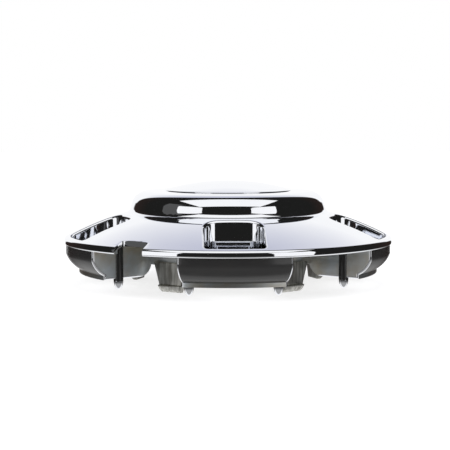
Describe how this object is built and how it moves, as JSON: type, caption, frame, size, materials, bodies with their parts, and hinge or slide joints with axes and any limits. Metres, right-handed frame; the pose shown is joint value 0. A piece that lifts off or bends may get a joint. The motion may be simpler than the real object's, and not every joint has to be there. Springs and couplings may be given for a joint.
{
  "type": "wheel center cap",
  "caption": "Chrome-plated wheel center cap: crowned dome on a conical flange with lug windows, wells, locating posts and snap tabs below.",
  "frame": {"origin": "on the axis, in the plane of the snap tabs' feet, on which the cap stands", "axes": "+Z along the axis, from the tabs towards the crown; a lug window faces -Y"},
  "size_m": [0.176, 0.176, 0.055],
  "materials": {
    "plated": "bright chrome plate on ABS, satin on the back"
  },
  "bodies": {
    "root": {"center_cap": "plated"}
  },
  "joints": []
}
